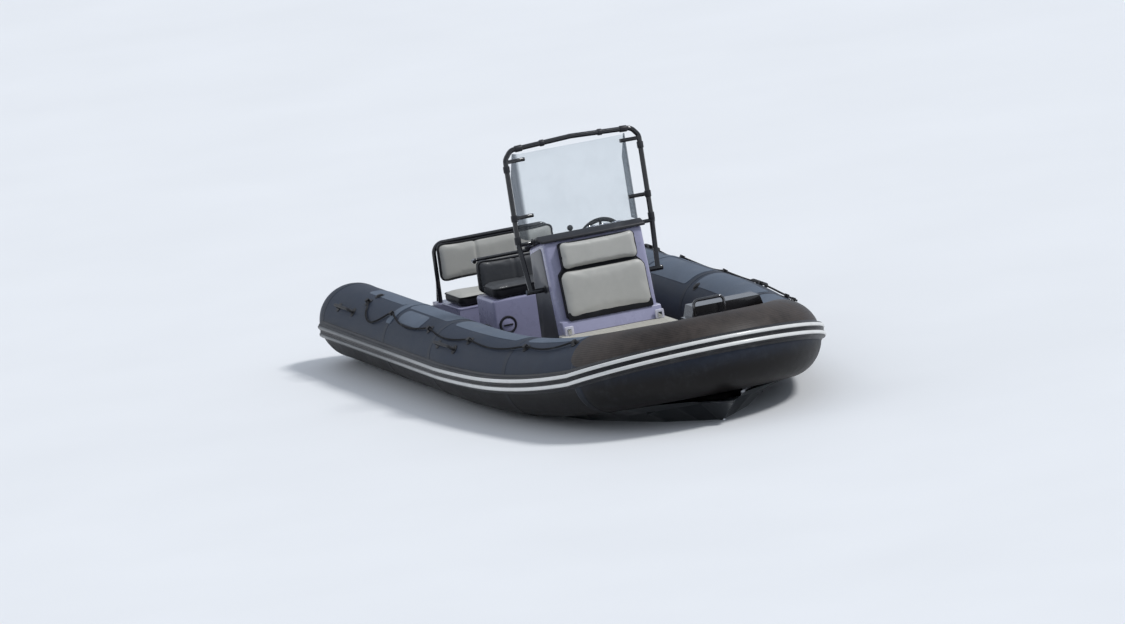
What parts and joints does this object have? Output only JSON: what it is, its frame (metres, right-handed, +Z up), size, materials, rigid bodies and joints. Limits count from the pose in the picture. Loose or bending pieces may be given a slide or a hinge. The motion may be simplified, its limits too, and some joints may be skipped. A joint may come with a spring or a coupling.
{
  "type": "rigid inflatable boat",
  "caption": "Open rigid inflatable boat with deep-V hull, centre console, framed windscreen, helm seat, aft bench over an inboard engine, and a steerable stern drive.",
  "frame": {"origin": "on the waterline at rest, amidships, on the centreline", "axes": "+X towards the bow, +Y to port, +Z up"},
  "size_m": [5.232, 2.3846, 2.3399],
  "materials": {
    "tube_fabric": "matt coated fabric",
    "strake_rubber": "satin rubber",
    "strake_light": "satin",
    "bow_pad_rubber": "ribbed, matt",
    "hull_gelcoat": "gloss gelcoat",
    "deck_gelcoat": "non-slip gelcoat",
    "console_gelcoat": "satin gelcoat",
    "dark_plastic": "matt",
    "light_plastic": "satin",
    "seat_pad": "fine grain",
    "cushion_vinyl": "grained vinyl",
    "cushion_dark": "grained vinyl",
    "black_tube": "gloss",
    "clear_sheet": "clear",
    "steel": "polished",
    "engine_grey": "satin",
    "drive_black": "satin",
    "prop_alloy": "satin",
    "rope_black": "braided"
  },
  "bodies": {
    "boat": {"tube_collar": "tube_fabric", "rubbing_strake": "strake_rubber", "strake_ribs": "strake_light", "hull": "hull_gelcoat", "deck": "deck_gelcoat", "transom_wall": "hull_gelcoat", "console": "console_gelcoat", "dash": "dark_plastic", "console_cushion_low": "cushion_vinyl", "console_cushion_high": "cushion_vinyl", "front_seat_box": "console_gelcoat", "front_seat_pad": "seat_pad", "front_seat_plinth": "console_gelcoat", "front_seat_latches": "light_plastic", "rail": "black_tube", "windscreen": "clear_sheet", "helm_bezel": "dark_plastic", "dials": "dark_plastic", "throttle": "dark_plastic", "helm_seat_pod": "console_gelcoat", "pod_hatches": "dark_plastic", "helm_seat_cushion": "cushion_dark", "helm_backrest": "cushion_dark", "helm_seat_handle": "black_tube", "engine_box": "console_gelcoat", "bench_backrest": "cushion_vinyl", "backrest_frame": "black_tube", "engine_block": "engine_grey", "transom_shield": "drive_black", "bow_locker": "dark_plastic", "bow_pad": "bow_pad_rubber", "bow_step": "dark_plastic", "bow_bar": "steel", "bow_eye": "steel", "bow_case": "dark_plastic", "stern_eyes": "steel", "grab_lines": "rope_black", "line_lugs": "strake_rubber", "carry_handles": "strake_rubber"},
    "steering_ring": {"steering_ring": "drive_black"},
    "drive_leg": {"drive_leg": "drive_black"},
    "propeller": {"propeller": "prop_alloy"},
    "steering_wheel": {"steering_wheel": "dark_plastic"},
    "locker_lid": {"bow_locker_lid": "dark_plastic"},
    "engine_lid": {"engine_lid": "console_gelcoat", "bench_cushion": "cushion_vinyl"}
  },
  "joints": [
    {"name": "drive_steer", "type": "hinge", "parent": "boat", "child": "steering_ring", "pos_m": [-2.215, 0, -0.06], "axis": [0, 0, 1], "range_deg": [-28, 28]},
    {"name": "drive_tilt", "type": "hinge", "parent": "steering_ring", "child": "drive_leg", "pos_m": [-2.215, 0, -0.06], "axis": [0, 1, 0], "range_deg": [0, 45]},
    {"name": "propeller_spin", "type": "hinge", "parent": "drive_leg", "child": "propeller", "pos_m": [-2.56, 0, -0.47], "axis": [1, 0, 0], "continuous": true},
    {"name": "wheel_turn", "type": "hinge", "parent": "boat", "child": "steering_wheel", "pos_m": [-0.13, 0.19, 0.85], "axis": [0.9397, 0, -0.342], "range_deg": [-504, 504]},
    {"name": "locker_lid_hinge", "type": "hinge", "parent": "boat", "child": "locker_lid", "pos_m": [1.89, 0, 0.48], "axis": [0, 1, 0], "range_deg": [0, 80]},
    {"name": "engine_lid_hinge", "type": "hinge", "parent": "boat", "child": "engine_lid", "pos_m": [-1.48, 0, 0.3603], "axis": [0, 1, 0], "range_deg": [0, 70]}
  ],
  "couplings": [
    {"joint": "wheel_turn", "follows": "drive_steer", "ratio": 18}
  ]
}
